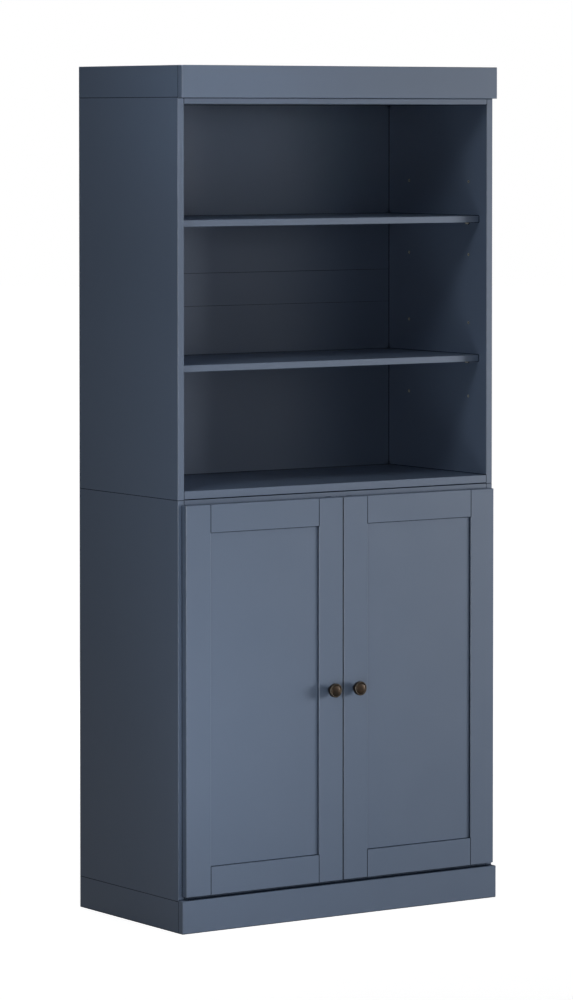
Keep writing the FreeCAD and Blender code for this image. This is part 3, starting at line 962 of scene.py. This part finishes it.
# ---------------------------------------------------------------- carcass hardware
@dataclass
class PinSleeves:
    """Thin metal sleeves in the spare pin holes of the upper sides."""

    fitter: Fitter
    pin_radius: float = 2.5 * MM
    rim_radius: float = 3.6 * MM
    bore_radius: float = 1.9 * MM
    rim_rise: float = 0.25 * MM
    depth: float = 9.6 * MM
    low_rows: Range = (94.0 * MM, -83.5 * MM)
    high_rows: Range = (100.0 * MM, -76.5 * MM)

    def form(self) -> bpy.types.Mesh:
        """Return one sleeve, whose rim lies on Z = 0 and whose tube goes down."""
        tube, bore, rim, rise = self.pin_radius, self.bore_radius, self.rim_radius, self.rim_rise
        corners = ((tube, -self.depth, 0.0), (tube, 0.0, 0.0), (rim, 0.0, 0.0), (rim, rise, 0.2 * MM),
                   (bore, rise, 0.3 * MM), (bore, -self.depth, 0.0), (0.0, -self.depth, 0.0))
        made = scene_object("sleeve_form", turned_mesh(rounded_outline(corners, 3), 32))
        mesh = made.data
        bpy.data.objects.remove(made)
        return mesh

    def build(self) -> None:
        """Line every spare hole."""
        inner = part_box("upper_side_right")[0].x
        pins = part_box("upper_shelf_pins")
        columns = (pins[0].y + self.pin_radius, pins[1].y - self.pin_radius)
        shelves = (("upper_shelf_low", self.low_rows), ("upper_shelf_high", self.high_rows))
        rows = [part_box(shelf)[0].z - self.pin_radius + step
                for shelf, steps in shelves for step in steps]
        places = [seat(Vector((side.value * inner, y, z)), Vector((-side.value, 0, 0)))
                  for side in Side for y in columns for z in rows]
        sleeves = scene_object("pin_hole_sleeves", copies(self.form(), places))
        self.fitter.fit(sleeves, Body.CARCASS, Slot.PIN)


@dataclass
class LinkScrews:
    """Flush screws in the plates that tie the modules together."""

    fitter: Fitter
    plate_width: float = 40.0 * MM
    across: float = 12.0 * MM
    edge: float = 7.5 * MM
    sunk: float = 0.45 * MM
    head: ScrewHead = ScrewHead(3.2 * MM, 0.6 * MM)

    def build(self) -> None:
        """Make four screws in each plate."""
        low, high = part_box("module_link_plates")
        middles = (low.x + self.plate_width / 2, high.x - self.plate_width / 2)
        heights = (low.z + self.edge, high.z - self.edge)
        y, backward = high.y - self.sunk, Vector((0, 1, 0))
        places = [seat(Vector((middle + step, y, z)), backward, 7.0 * z + 30 * step)
                  for middle in middles for step in (-self.across, self.across) for z in heights]
        screws = scene_object("link_plate_screws", copies(self.head.mesh(), places))
        self.fitter.fit(screws, Body.CARCASS, Slot.ZINC)


# ---------------------------------------------------------------- studio
@dataclass(frozen=True)
class Lamp:
    """A soft box: where it hangs, what it looks at, its size and how bright its face is.

    The beam is how many degrees the light spreads over. A card that is gloss_only shows in
    reflections and lights nothing.
    """

    name: str
    place: Place
    aim: Place
    width: float
    height: float
    brightness: float
    beam: float = 180.0
    gloss_only: bool = False

    def light(self) -> None:
        """Hang the lamp."""
        data = bpy.data.lights.new(self.name, "AREA")
        data.shape, data.size, data.size_y = "RECTANGLE", self.width, self.height
        data.energy = self.brightness * math.pi * self.width * self.height
        data.spread = math.radians(self.beam)
        lamp = bpy.data.objects.new(self.name, data)
        lamp.location = self.place
        backward = Vector(self.place) - Vector(self.aim)
        lamp.rotation_euler = backward.to_track_quat("Z", "Y").to_euler()
        lamp.visible_camera = False
        lamp.visible_diffuse = not self.gloss_only
        bpy.context.scene.collection.objects.link(lamp)


@dataclass
class Studio:
    """Pale floor, white surroundings, soft boxes and the camera.

    The floor's glow grows from floor_lift to full between lift_from and lift_to metres from the
    piece. The gloss values are how bright glossy rays see the white: on its bright side, on the
    far side of that, and on the floor.
    """

    floor_radius: float = 40.0
    floor_facets: int = 96
    floor_colour: Colour = (0.50, 0.50, 0.50)
    floor_lift: float = 0.88
    lift_from: float = 2.5
    lift_to: float = 6.0
    ambient: float = 0.04
    bright_side: Place = (-0.5, -0.866, 0.0)
    bright_fade: Range = (-0.3, 1.0)
    bright_gloss: float = 0.9
    dark_gloss: float = 0.0
    floor_gloss: float = 0.15
    focal_pixels: float = 4495.74
    frame_height: float = 1000.0
    sensor_width: float = 36.0
    far_clip: float = 200.0
    eye: Place = (-6.0365, -8.8613, 1.8737)
    yaw: float = -34.2278
    pitch: float = -2.1006
    shift_up: float = -0.2150
    lamps: tuple[Lamp, ...] = (
        Lamp("key_box", (7.090, -3.690, 1.0), (0.0, 0.0, 1.0), 2.6, 1.6, 24.3),
        Lamp("key_high_box", (6.890, -3.978, 1.836), (0.0, 0.0, 1.0), 2.0, 1.6, 6.96),
        Lamp("front_box", (2.462, -4.264, 1.868), (0.0, 0.0, 1.0), 2.4, 2.0, 0.53),
        Lamp("left_low_box", (-0.6, -0.9, 0.4), (0.0, 0.0, 1.0), 0.6, 0.6, 2.20),
        Lamp("left_middle_box", (-0.6, -0.9, 1.2), (0.0, 0.0, 1.0), 0.6, 0.6, 0.37),
        Lamp("left_top_box", (-1.5, -0.9, 2.8), (0.0, 0.0, 1.0), 0.6, 0.6, 7.30),
        Lamp("side_low_box", (-1.2, -0.5, 1.2), (0.0, 0.0, 1.0), 0.6, 0.6, 0.76),
        Lamp("cornice_spot", (-1.8, -2.2, 1.97), (-0.3, -0.22, 1.95), 0.4, 0.3, 0.36, beam=16.0),
        Lamp("arris_card", (-3.3, -2.25, 1.5), (0.0, 0.0, 1.5), 0.6, 2.4, 12.5, gloss_only=True),
        Lamp("rear_box", (0.9, 4.0, 2.2), (0.0, 0.0, 1.0), 2.4, 2.4, 3.2),
    )

    def seen_directly(self, graph: Graph, mirrored: Any) -> bpy.types.NodeSocket:
        """Return how much of a glow each kind of ray sees.

        Args:
            graph: the graph to work in.
            mirrored: the share that glossy rays see.

        Returns:
            1 for camera and glass rays, the mirrored share for glossy ones and 0 for the rest.
        """
        path = graph.add("ShaderNodeLightPath")
        direct = graph.math("MAXIMUM", path.outputs["Is Camera Ray"],
                            path.outputs["Is Transmission Ray"])
        glossy = graph.math("MULTIPLY", path.outputs["Is Glossy Ray"], mirrored)
        return graph.math("MAXIMUM", direct, glossy)

    def build_world(self) -> None:
        """Surround the piece with white that lights it at the ambient level only."""
        world = bpy.data.worlds.new("studio")
        bpy.context.scene.world = world
        world.use_nodes = True
        graph = Graph(world.node_tree)
        graph.tree.nodes.clear()
        away = graph.add("ShaderNodeTexCoord").outputs["Generated"]
        facing = graph.add("ShaderNodeVectorMath", {0: away, 1: self.bright_side},
                           operation="DOT_PRODUCT")
        mirrored = graph.ramp(facing.outputs["Value"], *self.bright_fade, self.dark_gloss,
                              self.bright_gloss)
        strength = graph.math("MAXIMUM", self.seen_directly(graph, mirrored), self.ambient)
        backdrop = graph.add("ShaderNodeBackground", {"Strength": strength})
        backdrop.inputs["Color"].default_value = (1.0, 1.0, 1.0, 1.0)
        output = graph.add("ShaderNodeOutputWorld")
        graph.feed(output.inputs["Surface"], backdrop.outputs[0])

    def build_floor(self) -> None:
        """Lay the floor, which stays white and keeps a soft shadow near the piece."""
        form = bmesh.new()
        bmesh.ops.create_circle(form, cap_ends=True, radius=self.floor_radius,
                                segments=self.floor_facets)
        floor = scene_object("studio_floor", form)
        material, graph, shader = new_material("pale_floor")
        graph.tree.nodes.remove(shader)
        away = graph.add("ShaderNodeVectorMath", {0: graph.place()}, operation="LENGTH")
        lift = graph.ramp(away.outputs["Value"], self.lift_from, self.lift_to, self.floor_lift, 1.0)
        strength = graph.math("MULTIPLY", lift, self.seen_directly(graph, self.floor_gloss))
        glow = graph.add("ShaderNodeEmission", {"Strength": strength})
        dull = graph.add("ShaderNodeBsdfDiffuse", {"Color": opaque(self.floor_colour)})
        both = graph.add("ShaderNodeAddShader", {0: glow.outputs[0], 1: dull.outputs[0]})
        graph.feed(graph.tree.nodes["Material Output"].inputs["Surface"], both.outputs[0])
        floor.data.materials.append(material)

    def build_camera(self) -> None:
        """Set the camera."""
        data = bpy.data.cameras.new("camera")
        data.sensor_width = self.sensor_width
        data.lens = self.focal_pixels * self.sensor_width / self.frame_height
        data.shift_y = self.shift_up
        data.clip_end = self.far_clip
        camera = bpy.data.objects.new("camera", data)
        camera.location = self.eye
        turn = (90.0 + self.pitch, 0.0, self.yaw)
        camera.rotation_euler = [math.radians(angle) for angle in turn]
        bpy.context.scene.collection.objects.link(camera)
        bpy.context.scene.camera = camera

    def build(self) -> None:
        """Set the whole studio."""
        bpy.context.scene.view_settings.view_transform = "Standard"
        self.build_world()
        self.build_floor()
        self.build_camera()
        for lamp in self.lamps:
            lamp.light()
        log.info("studio has %d lamps", len(self.lamps))


def main() -> None:
    """Dress the boards, add the hardware and set the studio."""
    logging.basicConfig(level=logging.INFO, format="%(name)s: %(message)s")
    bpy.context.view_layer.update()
    palette = Palette()
    fitter = Fitter(palette)
    Boards(palette).dress()
    for side in Side:
        Knob(fitter, side).build()
        HingeScrews(fitter, side).build()
    PinSleeves(fitter).build()
    LinkScrews(fitter).build()
    Studio().build()


if __name__ == "__main__":
    main()
